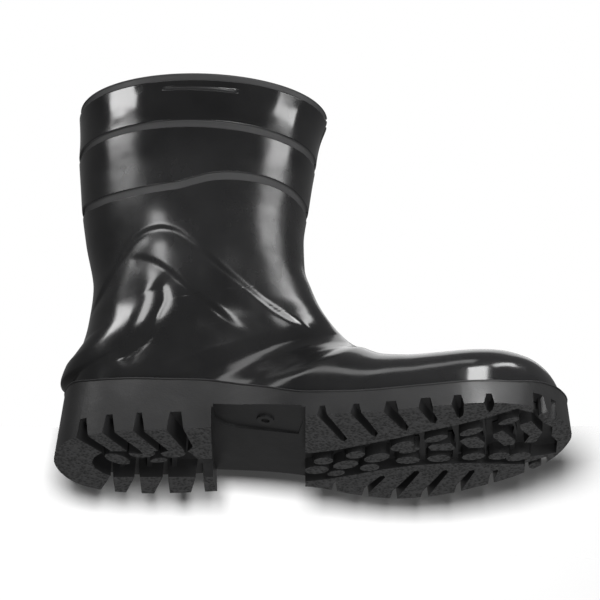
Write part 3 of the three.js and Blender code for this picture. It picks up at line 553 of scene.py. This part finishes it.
def make_upper():
    """The moulded upper, with its bands, bar, flash, seam, ankle lines and spur."""
    rows, leg = leg_levels()
    foot_rows = np.concatenate([
        np.arange(3.0, 5.5, 0.032), np.arange(5.5, 6.8, 0.032), np.arange(6.8, 9, 0.05),
        np.arange(9, 16, 0.085), np.arange(16, 19, 0.075), np.arange(19, LAST, 0.05), [LAST],
    ])
    foot_rows = np.unique(np.round(foot_rows, 4))[:, None]
    place = np.concatenate([rows, foot_rows])
    t = np.concatenate([leg, np.repeat(foot_rows, COLUMNS, 1)])
    angle = np.broadcast_to(angles[None, :], t.shape)
    points, rear_normal = surface(t, angle, 0, 0, 0)
    normals = grid_normals(points)

    band, satin_and_sheen = band_height(np.broadcast_to(place, t.shape))
    bulge = 0.55 * np.sin(np.pi * np.clip((place - 0.17) / 0.98, 0, 1))
    bulge = bulge + 0.2 * np.sin(np.pi * np.clip((place - 1.31) / 1.0, 0, 1))
    out = band + bulge + soften(ankle_relief(points), 2)

    # A short raised bar under the rim, on the inner side.
    x, y, z = points[..., 0], points[..., 1], points[..., 2]
    bar = ramp(x, *BAR_START) * (1 - ramp(x, *BAR_END)) * (y < INNER_SIDE)
    bar = bar * (1 - ramp(np.abs(z - (BAR_Z - BAR_LEAN * (x - BAR_X))), *BAR_HALF))
    out = out + BAR_RELIEF * bar
    # The bar gets half the bands' rougher finish and half their painted sheen.
    satin_and_sheen = np.maximum(satin_and_sheen, 0.5 * bar)

    # The mould's flash up the front of the leg, ragged where it was trimmed.
    from_front = np.minimum(angle, 2 * np.pi - angle) * FRONT_RADIUS
    ragged = 0.75 + 0.25 * np.sin(z * 0.55) * np.sin(z * 0.21 + 1) + 0.12 * np.sin(z * 2.3)
    flash = (1 - ramp(from_front, 0.3, 1.3)) * ramp(z, *FLASH_START) * (1 - ramp(z, 238, 243))
    out = out + FLASH_RELIEF * ragged * flash
    # The parting line on down the instep and the vamp.
    seam = (1 - ramp(from_front, 0.2, 1.6)) * (1 - ramp(z, *FLASH_START))
    out = out + SEAM_RELIEF * seam

    points = points + normals * out[..., None]
    spur = spur_relief(t, angle)
    points[..., 0] += rear_normal[..., 0] * spur
    points[..., 2] += rear_normal[..., 1] * spur

    # The inner face, and the rim's flat top between the two.
    inner_t = np.concatenate([np.arange(0, 3, 0.25), np.arange(3, 16, 0.5), np.arange(16, LAST + 0.1, 0.5)])
    inner, _ = surface(inner_t[:, None], angles[None, :], UPPER_WALL, UPPER_WALL, UPPER_WALL)
    rim = inner[:1] + (points[:1] - inner[:1]) * np.array([0.25, 0.8])[::-1, None, None]
    rim[..., 2] += 0.5
    inside = np.concatenate([rim, inner])
    everything, faces = closed_shell(points, inside, TOE_POLE, TOE_POLE - np.array((UPPER_WALL, 0, 0)))
    start = len(points) * COLUMNS
    obj = make_object("upper_shell", everything, faces, "boot", "upper_pvc", ["upper"], pvc_material())
    # The leg gets duller from 214 mm down, and the foot is nearly as glossy as the top.
    dull = 0.4 * ramp(-z, -214, -204) + 0.6 * ramp(-z, -187, -178)
    dull = dull * (1 - 0.85 * ramp(-z, -112, -84))
    # The first attribute marks the rougher bands, bar and rim, which the material also paints lighter: a
    # painted sheen.
    for name, field, rim_value in (("satin_and_sheen", satin_and_sheen, 1), ("dull", dull, 0)):
        values = np.zeros(len(everything), np.float32)
        values[:start] = field.reshape(-1)
        values[start : start + 2 * COLUMNS] = rim_value
        obj.data.attributes.new(name, "FLOAT", "POINT").data.foreach_set("value", values)
    return obj


upper = make_upper()

# ---------------------------------------------------------------- outsole


# Top edge of the side wall above the ground under it, and the line inside the foot it is seen from, in mm
WALL_TOP = smooth(
    [(-150, 46), (-140, 42), (-126, 38), (-90, 36), (-64, 34), (-33, 26), (-2, 18), (25, 16.5),
     (110, 16.5), (132, 21), (150, 24)]
)
SPINE_HEEL, SPINE_TOE = np.array((-102, 11)), np.array((98, -4))


def wall_top(mesh):
    """Points round the top of the side wall, found by looking inwards at the moulding."""
    tree = BVHTree.FromBMesh(mesh)
    path = []
    for turn in 2 * np.pi * np.arange(260) / 260:
        aim = np.array((math.cos(turn), math.sin(turn)))
        base = SPINE_HEEL + (SPINE_TOE - SPINE_HEEL) * np.clip(0.5 + 0.62 * aim[0], 0, 1)
        x = base[0]
        for drop in (3, 1.5, 0.8, 0.4, 0.4):
            height = WALL_TOP(x) + 9 * max(0, (x - 62) / 88) ** 2 - drop
            start = Vector((*(base + aim * 90), float(height))) * MM
            found = tree.ray_cast(start, Vector((*-aim, 0)), 0.09)[0]
            if found is None:
                break
            hit = found
            x = hit.x / MM
        path.append(hit)
    return np.array(path)


BEAD_RADIUS, BEAD_STEPS = 0.00065, 8
EDGE_WIDTH = 0.0004  # of the outsole's rounded edges


def add_bead(mesh, rim):
    """A thin bead moulded along the top of the side wall."""
    travel = np.roll(rim, -1, 0) - np.roll(rim, 1, 0)
    outward = unit(np.stack([travel[:, 1], -travel[:, 0], 0 * travel[:, 0]], -1))
    if (outward * (rim - rim.mean(0))).sum() < 0:
        outward = -outward
    rings = []
    for step in range(BEAD_STEPS):
        turn = 2 * math.pi * step / BEAD_STEPS
        offset = outward * (math.cos(turn) * BEAD_RADIUS - 0.0001)
        ring = rim + offset + np.array((0, 0, math.sin(turn) * BEAD_RADIUS - 0.0003))
        rings.append([mesh.verts.new(p) for p in ring])
    for a in range(BEAD_STEPS):
        for i in range(len(rim)):
            b, k = (a + 1) % BEAD_STEPS, (i + 1) % len(rim)
            mesh.faces.new((rings[a][i], rings[a][k], rings[b][k], rings[b][i]))
    bmesh.ops.recalc_face_normals(mesh, faces=[f for f in mesh.faces if f.verts[0] in set(sum(rings, []))])


def make_outsole():
    """The outsole, from the CAD solid's own faces, with soft edges and a bead."""
    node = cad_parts["outsole"]
    mesh = bmesh.new()
    plain = bpy.data.meshes.new("outsole_faces")
    plain.from_pydata([v.co for v in node.data.vertices], [], [list(p.vertices) for p in node.data.polygons])
    mesh.from_mesh(plain)
    bpy.data.meshes.remove(plain)
    bmesh.ops.remove_doubles(mesh, verts=mesh.verts, dist=1e-6)
    rim = wall_top(mesh)
    bmesh.ops.dissolve_limit(mesh, angle_limit=math.radians(1.2), verts=mesh.verts, edges=mesh.edges)
    add_bead(mesh, rim)
    data = bpy.data.meshes.new("outsole_moulding")
    mesh.to_mesh(data)
    mesh.free()
    data.materials.clear()
    data.materials.append(sole_material())
    obj = bpy.data.objects.new("outsole_moulding", data)
    bpy.context.scene.collection.objects.link(obj)
    bevel = obj.modifiers.new("bevel", "BEVEL")
    bevel.width = EDGE_WIDTH
    bevel.segments = 2
    bevel.limit_method = "ANGLE"
    bevel.angle_limit = math.radians(34)
    bevel.use_clamp_overlap = True
    data.polygons.foreach_set("use_smooth", [True] * len(data.polygons))
    data.set_sharp_from_angle(angle=math.radians(30))
    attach(obj, "boot")
    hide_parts("outsole")


make_outsole()

# ---------------------------------------------------------------- lining, tape, footbed and heel pad

LINING_BASE = 2.8  # from the upper's outer face to the lining
LINING_WALL = 1.2
LINING_TOP = 0.45
LINING_COLUMNS = 180
CAP_STEP, COUNTER_STEP, SOLE_STEP = 2.4, 1.6, 4.1
cap_share = smooth([(14, 0), (15, 1)])
counter_share = smooth([(4, 0), (5, 1), (8, 1), (9, 0)])
sole_share = smooth([(7, 0), (8.5, 1), (19.5, 1), (LAST, 0)])
lining_angles = 2 * np.pi * np.arange(LINING_COLUMNS) / LINING_COLUMNS


def lining_face(t, depth):
    """A face of the lining, which goes round the toe cap, the heel counter and the midsole."""
    t = np.asarray(t, float)[:, None]
    cap, counter = CAP_STEP * cap_share(t), COUNTER_STEP * counter_share(t)
    base = LINING_BASE + depth
    under = base + counter + np.maximum(SOLE_STEP * sole_share(t), cap)
    t, angle, front, side, rear = np.broadcast_arrays(
        t, lining_angles[None, :], base + cap, base + cap + counter, under
    )
    return surface(t, angle, front, side, rear)[0]


def down_the_leg(co):
    """How far down the lining a point is, in mm."""
    return co[:, 0] * ramp(-co[:, 2], -70, -30) - co[:, 2]


def make_lining():
    """The knitted sock, from below its tape to the toe."""
    levels = np.concatenate([np.arange(LINING_TOP, 9, 0.07), np.arange(9, LAST, 0.16), [LAST]])
    outer, inner = lining_face(levels, 0.1), lining_face(levels, LINING_WALL - 0.1)
    # The knit isn't drawn quite tight: it has slow ripples, and a sewn seam down its back.
    t, angle = levels[:, None], lining_angles[None, :]
    ripple = 0.16 * np.sin(2.3 * t + 2 * np.sin(3 * angle)) * np.sin(5 * angle + 0.8 * t)
    from_back = np.abs(angle - np.pi) * 44
    seam = 0.55 * np.exp(-((from_back / 1.5) ** 2)) * (1 + 0.25 * np.sin(t * 70)) * (t < 6)
    inner = inner - grid_normals(inner) * (ripple + seam + 0.1)[..., None]
    # Its cut edge is rounded over.
    outer[0] = outer[0] * 0.7 + inner[0] * 0.3
    tip = TOE_POLE - np.array((LINING_BASE + CAP_STEP, 0, 0))
    points, faces = closed_shell(outer, inner, tip, tip - np.array((LINING_WALL, 0, 0)))
    knit = knit_material("lining_knit", (0.44, 0.45, 0.46), (0.1, 0.105, 0.11), 1.9, 1.5)
    obj = make_object("knitted_lining", points, faces, "boot", "lining_knit", ["lining_sock"], knit)
    place_by_position(obj, down_the_leg)
    return obj


def make_tape():
    """The woven tape between the lining's top edge and the rim."""
    levels = np.linspace(0.06, 0.41, 22)
    share = np.linspace(-1, 1, 22)[:, None]
    outer, inner = lining_face(levels, 0), lining_face(levels, LINING_WALL)
    angle = lining_angles[None, :]
    rounded = 0.45 * (1 - np.sqrt(np.maximum(1 - share**4, 0)))
    stitches = 0.22 * np.exp(-(((np.abs(share) - 0.68) / 0.06) ** 2)) * np.cos(angle * 72)
    welt = 0.18 * np.exp(-((share / 0.3) ** 2)) + 0.05 * np.sin(angle * 31)
    inner = inner - grid_normals(inner) * (welt + stitches - rounded + 0.1)[..., None]
    outer = outer - grid_normals(outer) * rounded[..., None]
    points, faces = closed_shell(outer, inner)
    tape = woven_material("binding_tape", (0.075, 0.078, 0.085), (0.014, 0.015, 0.017), 0.8, 0.00022)
    obj = make_object("binding_tape", points, faces, "boot", "binding_tape", ["lining_top_tape"], tape)
    place_by_position(obj, down_the_leg)
    return obj


def slab_lines(name):
    """A CAD slab's stations: x, both sides, and the top's height in the middle and at the sides."""
    co = np.array([v.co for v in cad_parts[name].data.vertices]) / MM
    co = np.unique(np.round(co, 2), axis=0)
    low, high = co[:, 0].min(), co[:, 0].max()
    tops = [co[co[:, 0] == x] for x in np.unique(co[:, 0])]
    full = [s for s in tops if len(s) >= 10 or s[0, 0] in (low, high)]
    rows = []
    for s in full:
        sides = s[:, 1].min(), s[:, 1].max()
        middle = s[np.abs(s[:, 1] - sum(sides) / 2) < 1.5 + 0.02 * (sides[1] - sides[0])]
        edge = s[(s[:, 1] == sides[0]) | (s[:, 1] == sides[1])]
        rows.append((s[0, 0], *sides, middle[:, 2].max(), edge[:, 2].max()))
    return [smooth([(i, row[k]) for i, row in enumerate(rows)]) for k in range(5)], len(rows) - 1


SLAB_ROWS, SLAB_HALF = 150, 26


def slab_ring(lines, last, lower, thickness, slant, relief, rounding):
    """Rings of a slab from heel to toe: over its top, then back under it."""
    (x_of, inner_of, outer_of, middle_of, edge_of) = lines
    turn = np.pi * (np.arange(SLAB_ROWS) + 0.5) / SLAB_ROWS
    s = (last * 0.5 * (1 - np.cos(turn)))[:, None]
    across = np.sin(np.linspace(-np.pi / 2, np.pi / 2, SLAB_HALF))[None, :]
    centre, half = (inner_of(s) + outer_of(s)) / 2, (outer_of(s) - inner_of(s)) / 2
    x = np.broadcast_to(x_of(s), (SLAB_ROWS, SLAB_HALF))
    y = centre + across * half
    from_edge = half * (1 - np.abs(across))
    edge_drop = rounding * (1 - np.sqrt(1 - (1 - np.clip(from_edge / rounding, 0, 1)) ** 2))
    top = middle_of(s) + (edge_of(s) - middle_of(s)) * across**4 - lower
    # With no slant the underside follows the top. Otherwise it is flat across and narrower.
    flat = middle_of(s) - lower - thickness + 0 * across
    share = np.maximum(0, 1 - slant / np.maximum(half, 0.01))
    under_y = centre + across * half * share
    under_top = top if slant == 0 else flat
    under = under_top - (thickness if slant == 0 else 0) + edge_drop * 0.6
    upper = np.stack([x, y, top - edge_drop + relief(x, y)], -1)
    below = np.stack([x, under_y, np.minimum(under, upper[..., 2] - 0.15)], -1)[:, ::-1]
    return np.concatenate([upper, below], 1)


def close_rings(rings):
    """Faces of a tube of rings closed at both ends by a middle point."""
    rows, columns = rings.shape[:2]
    points = np.concatenate([rings.reshape(-1, 3), [rings[0].mean(0), rings[-1].mean(0)]])
    faces = grid_faces(rows, columns).tolist()
    j = np.arange(columns)
    k = (j + 1) % columns
    last, tip = (rows - 1) * columns, rows * columns
    faces += [(b, a, tip) for a, b in zip(j, k)]
    faces += [(last + a, last + b, tip + 1) for a, b in zip(j, k)]
    return points, [f[::-1] for f in faces]


def flat_uv(obj):
    """UVs in mm, seen from above."""
    layer = obj.data.uv_layers.new(name="cloth")
    co = np.array([v.co for v in obj.data.vertices])[:, :2] / MM
    loops = np.array([loop.vertex_index for loop in obj.data.loops])
    layer.data.foreach_set("uv", co[loops].astype(np.float32).ravel())


def quilting(x, y):
    """Crossed rows of shallow channels, a heel dish and the edge of the ball's pad."""
    a, b = (x + y) / 15, (x - y) / 15
    lines = np.exp(-((np.sin(np.pi * a) / 0.16) ** 2)) + np.exp(-((np.sin(np.pi * b) / 0.16) ** 2))
    inside = ramp(x, -118, -110) * (1 - ramp(x, 108, 118))
    dish = np.exp(-(((x + 100) / 26) ** 2) - (((y - 10) / 20) ** 2))
    return -0.22 * np.minimum(lines, 1) * inside - 0.3 * dish


def cells(x, y):
    """Small round cells in a hexagonal layout."""
    a, b, c = x / 6, (x * 0.5 + y * 0.866) / 6, (x * -0.5 + y * 0.866) / 6
    return -0.12 * ramp(sum(np.cos(2 * np.pi * v) for v in (a, b, c)), 0.5, 2)


def make_footbed():
    """The foam footbed and the cloth on it."""
    lines, last = slab_lines("footbed_cover")
    foam = plain_material("footbed_foam", (0.05, 0.052, 0.058), (0.09, 0.093, 0.1), 0.9, 500, 0.0003)
    rings = slab_ring(lines, last, 1.45, 4.5, 3, cells, 1.2)
    obj = make_object("footbed_foam", *close_rings(rings), "loose_footbed", "footbed_foam", ["footbed"], foam)
    weave = woven_material("cover_fabric", (0.3, 0.31, 0.33), (0.07, 0.075, 0.08), 0.75, 0.00025)
    rings = slab_ring(lines, last, 0.05, 0.75, 0, quilting, 0.5)
    cover = make_object(
        "footbed_cloth", *close_rings(rings), "loose_footbed", "cover_fabric", ["footbed_cover"], weave
    )
    flat_uv(cover)


def make_heel_pad():
    """A soft oval pad with round sides and rows of small dimples."""
    middle, half, height = (-102, 11), (24.4, 19.4), (14.95, 20.1)
    turns = 2 * np.pi * np.arange(96) / 96
    rise = np.linspace(0.02, np.pi - 0.02, 40)[:, None]
    out = np.sin(rise) ** 0.3
    side = np.sign(np.cos(rise)) * np.abs(np.cos(rise)) ** 0.6
    x = middle[0] + half[0] * out * np.cos(turns)
    y = middle[1] + half[1] * out * np.sin(turns)
    z = sum(height) / 2 + (height[1] - height[0]) / 2 * side + 0 * x
    z = z + np.where(rise < 1.2, cells(x * 1.2, y * 1.2) * 3, 0) * ramp(out, 0, 0.2)
    rings = np.stack([x, y, z], -1)
    gel = plain_material("cushion_foam", (0.5, 0.4, 0.05), (0.4, 0.3, 0.03), 0.75, 400, 0.0003)
    points, faces = close_rings(rings)
    obj = make_object(
        "heel_cushion", points, [f[::-1] for f in faces], "boot", "cushion_foam", ["heel_cushion_pad"], gel
    )


lining = make_lining()
tape = make_tape()
make_footbed()
make_heel_pad()

# ---------------------------------------------------------------- pieces moulded in, as the CAD has them


def steel_material(name, direction):
    """Pressed steel with a drawn grain, a grey phosphate bloom and a few rust freckles."""
    m = Nodes(name, (0.34, 0.35, 0.36), 0.4)
    m.set(Metallic=0.9)
    grain = m.noise(700, 4, m.stretched(direction))
    bloom = m.between(m.noise(35, 6), 0.4, 0.65, 0.0, 1.0)
    rust = m.between(m.noise(180, 5), 0.66, 0.74, 0.0, 0.7)
    tone = m.mix(bloom, (0.38, 0.39, 0.4), (0.24, 0.25, 0.27))
    m.set(Base_Color=m.mix(rust, tone, (0.16, 0.07, 0.03)))
    m.set(Roughness=m.math("ADD", m.between(grain, 0.3, 0.7, 0.28, 0.5), m.math("MULTIPLY", rust, 0.3)))
    m.bump(grain, 0.00006)
    return m.material


def fibre_material(name, light, dark):
    """Pressed fibre board: matted fibres, specks and a dull, slightly uneven face."""
    m = Nodes(name, light, 0.92, 0.2)
    lengthwise, crosswise = (m.noise(900, 5, m.stretched(s)) for s in ((0.25, 1, 1), (1, 0.25, 1)))
    fibres = m.math("ADD", lengthwise, crosswise)
    specks = m.between(m.noise(1500, 2), 0.64, 0.7, 0.0, 0.8)
    tone = m.mix(m.between(fibres, 0.8, 1.2, 0.0, 1.0), light, dark)
    m.set(Base_Color=m.mix(specks, tone, (0.12, 0.08, 0.05)))
    m.bump(fibres, 0.00018)
    return m.material


# Node, material and width of its rounded edges
HIDDEN = [
    ("steel_toe_cap", steel_material("cap_steel", (1, 0.15, 1)), 0.0004),
    ("steel_midsole_plate", steel_material("plate_steel", (0.12, 1, 1)), 0.0002),
    ("insole_board", fibre_material("fibre_board", (0.4, 0.32, 0.21), (0.26, 0.2, 0.12)), 0.0003),
    ("heel_counter", fibre_material("counter_board", (0.5, 0.44, 0.34), (0.36, 0.3, 0.22)), 0.0003),
    ("toe_cap_edge_strip",
     plain_material("edge_rubber", (0.018, 0.018, 0.018), (0.034, 0.034, 0.035), 0.7, 300, 0.0002), 0.0005),
]
for name, material, edge in HIDDEN:
    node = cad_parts[name]
    node.data.materials.clear()
    node.data.materials.append(material)
    rounded = node.modifiers.new("edge", "BEVEL")
    rounded.width = edge
    rounded.segments = 2
    rounded.limit_method = "ANGLE"
    rounded.angle_limit = math.radians(40)

# ---------------------------------------------------------------- studio


def add_light(name, direction, distance, size, power, target=(0, 0, 0.1)):
    """A soft rectangular light, in a direction from its target."""
    light = bpy.data.objects.new(name, bpy.data.lights.new(name, "AREA"))
    light.data.shape = "RECTANGLE"
    light.data.size, light.data.size_y = size
    light.data.energy = power
    aim = Vector(direction).normalized()
    light.location = Vector(target) + aim * distance
    light.rotation_euler = aim.to_track_quat("Z", "Y").to_euler()
    light.visible_camera = False
    bpy.context.scene.collection.objects.link(light)
    return light


def lit_only(light, objs, state):
    """The light shines on these objects only, or on everything but them."""
    group = bpy.data.collections.new(light.name + "_" + state)
    for obj in objs:
        group.objects.link(obj)
    for member in group.collection_objects:
        member.light_linking.link_state = state
    light.light_linking.receiver_collection = group


def one_sided(name, albedo, only_through=False):
    """A pale matte surface that shows from its front only.

    With only_through, what is above the ground shows only through the floor, and fades out upwards.
    """
    m = Nodes(name, (albedo, albedo, albedo), 0.9, 0.1)
    output = m.tree.nodes["Material Output"]
    clear = m.tree.nodes.new("ShaderNodeBsdfTransparent")
    mixed = m.tree.nodes.new("ShaderNodeMixShader")
    behind = m.tree.nodes.new("ShaderNodeNewGeometry").outputs["Backfacing"]
    if only_through:
        crossings = m.tree.nodes.new("ShaderNodeLightPath").outputs["Transparent Depth"]
        height = m.node("ShaderNodeSeparateXYZ", Vector=m.object_co).outputs["Z"]
        crossed = m.math("GREATER_THAN", crossings, 0.5)
        below = m.math("LESS_THAN", height, -0.0003)
        fading = m.between(height, 0.072, 0.05, 0.0, 1.0)
        seen = m.math("MULTIPLY", m.math("MAXIMUM", crossed, below), fading)
        behind = m.math("MAXIMUM", behind, m.math("SUBTRACT", 1.0, seen))
    m.put(mixed.inputs[0], behind)
    m.tree.links.new(m.shader.outputs[0], mixed.inputs[1])
    m.tree.links.new(clear.outputs[0], mixed.inputs[2])
    m.tree.links.new(mixed.outputs[0], output.inputs["Surface"])
    m.set(Base_Color=m.mix(m.noise(9, 3), (albedo, albedo, albedo), (albedo * 0.97,) * 3))
    return m.material


def stage_plane(name, corners, material):
    """A flat sheet of the studio, seen by the camera only."""
    mesh = bpy.data.meshes.new(name)
    mesh.from_pydata(corners, [], [(0, 1, 2, 3)])
    mesh.materials.append(material)
    obj = bpy.data.objects.new(name, mesh)
    bpy.context.scene.collection.objects.link(obj)
    obj.visible_shadow = obj.visible_diffuse = obj.visible_glossy = obj.visible_transmission = False
    return obj


FLOOR_HALF, FLOOR_Z = 3.0, -0.0002
CORNERS = ((-1, -1), (1, -1), (1, 1), (-1, 1))
floor = stage_plane(
    "floor",
    [(sx * FLOOR_HALF, sy * FLOOR_HALF, FLOOR_Z) for sx, sy in CORNERS],
    one_sided("floor_paper", 0.8),
)

# A sheet of paper close behind the sole, square to the camera, catches its shadow.
CARD_DEPTH, CARD_SLOPE, CARD_TOP, CARD_BOTTOM, CARD_HALF = 0.05, 0.07, -0.079, -0.3, 0.4
up = Vector((0, math.sin(VIEW_ELEVATION), math.cos(VIEW_ELEVATION)))
origin = Vector((0, 0, 0.105)) - back * CARD_DEPTH
across = Vector((1, 0, 0))
card = stage_plane(
    "shadow_card",
    [tuple(origin + (across - back * CARD_SLOPE) * sx * CARD_HALF + up * v) for sx, v in
     ((-1, CARD_BOTTOM), (1, CARD_BOTTOM), (1, CARD_TOP), (-1, CARD_TOP))],
    one_sided("card_paper", 0.8, only_through=True),
)

# The first five are small, and each makes the highlight of one part. The last three light the whole boot.
LEG_TOP_INNER, LEG_TOP_FRONT = (-0.113, -0.029, 0.216), (-0.018, -0.027, 0.214)
HEEL_SIDE, VAMP_SIDE, TOE_SIDE = (-0.09, -0.026, 0.085), (-0.01, -0.035, 0.036), (0.092, -0.052, 0.024)
boxes = [
    add_light("left_box", (-0.74, -0.48, 0.5), 0.45, (0.19, 0.075), 0.62, target=LEG_TOP_INNER),
    add_light("right_box", (0.83, -0.45, 0.36), 0.45, (0.2, 0.07), 0.48, target=LEG_TOP_FRONT),
    add_light("heel_box", (-0.36, -0.75, 0.56), 0.12, (0.026, 0.05), 0.04, target=HEEL_SIDE),
    add_light("over_box", (-0.1, -0.4, 0.92), 0.8, (0.5, 0.16), 0.6, target=VAMP_SIDE),
    add_light("toe_box", (0.2, -0.8, 0.56), 0.12, (0.06, 0.05), 0.14, target=TOE_SIDE),
    add_light("low_front", (0.4, -0.9, -0.1), 1.5, (0.6, 0.6), 10, target=(0, 0, 0.05)),
    add_light("under_box", (0.15, -0.6, -0.78), 1.5, (0.4, 0.4), 9, target=(0, 0, 0)),
    add_light("top_box", (0.1, 0.7, 1), 1.6, (1.2, 0.9), 4),
]
CARD_LIGHT_LIFT = 0.15
card_aim = back * math.cos(CARD_LIGHT_LIFT) + up * math.sin(CARD_LIGHT_LIFT) - across * 0.05
card_light = add_light("card_light", card_aim, 1.5, (0.37, 0.3), 32)
lit_only(card_light, [card], "INCLUDE")
floor_light = add_light("floor_light", (0.1, -0.1, 1), 3, (4, 4), 110)
lit_only(floor_light, [floor], "INCLUDE")
for box in boxes:
    lit_only(box, [card, floor], "EXCLUDE")


def make_world():
    """White to the camera, and dim to everything else, a little brighter behind the boot."""
    world = bpy.data.worlds.new("studio")
    bpy.context.scene.world = world
    world.use_nodes = True
    tree = world.node_tree
    split = tree.nodes.new("ShaderNodeSeparateXYZ")
    tree.links.new(tree.nodes.new("ShaderNodeTexCoord").outputs["Generated"], split.inputs[0])
    shade = tree.nodes.new("ShaderNodeMapRange")
    tree.links.new(split.outputs["Y"], shade.inputs["Value"])
    for name, number in (("From Min", -0.35), ("From Max", 0.5), ("To Min", 0.1), ("To Max", 0.2)):
        shade.inputs[name].default_value = number
    surroundings, plain = tree.nodes["Background"], tree.nodes.new("ShaderNodeBackground")
    tree.links.new(shade.outputs["Result"], surroundings.inputs["Strength"])
    for background in (surroundings, plain):
        background.inputs["Color"].default_value = (1, 1, 1, 1)
    choose = tree.nodes.new("ShaderNodeMixShader")
    tree.links.new(tree.nodes.new("ShaderNodeLightPath").outputs["Is Camera Ray"], choose.inputs[0])
    tree.links.new(surroundings.outputs[0], choose.inputs[1])
    tree.links.new(plain.outputs[0], choose.inputs[2])
    tree.links.new(choose.outputs[0], tree.nodes["World Output"].inputs["Surface"])


make_world()
bpy.context.scene.view_settings.view_transform = "Standard"
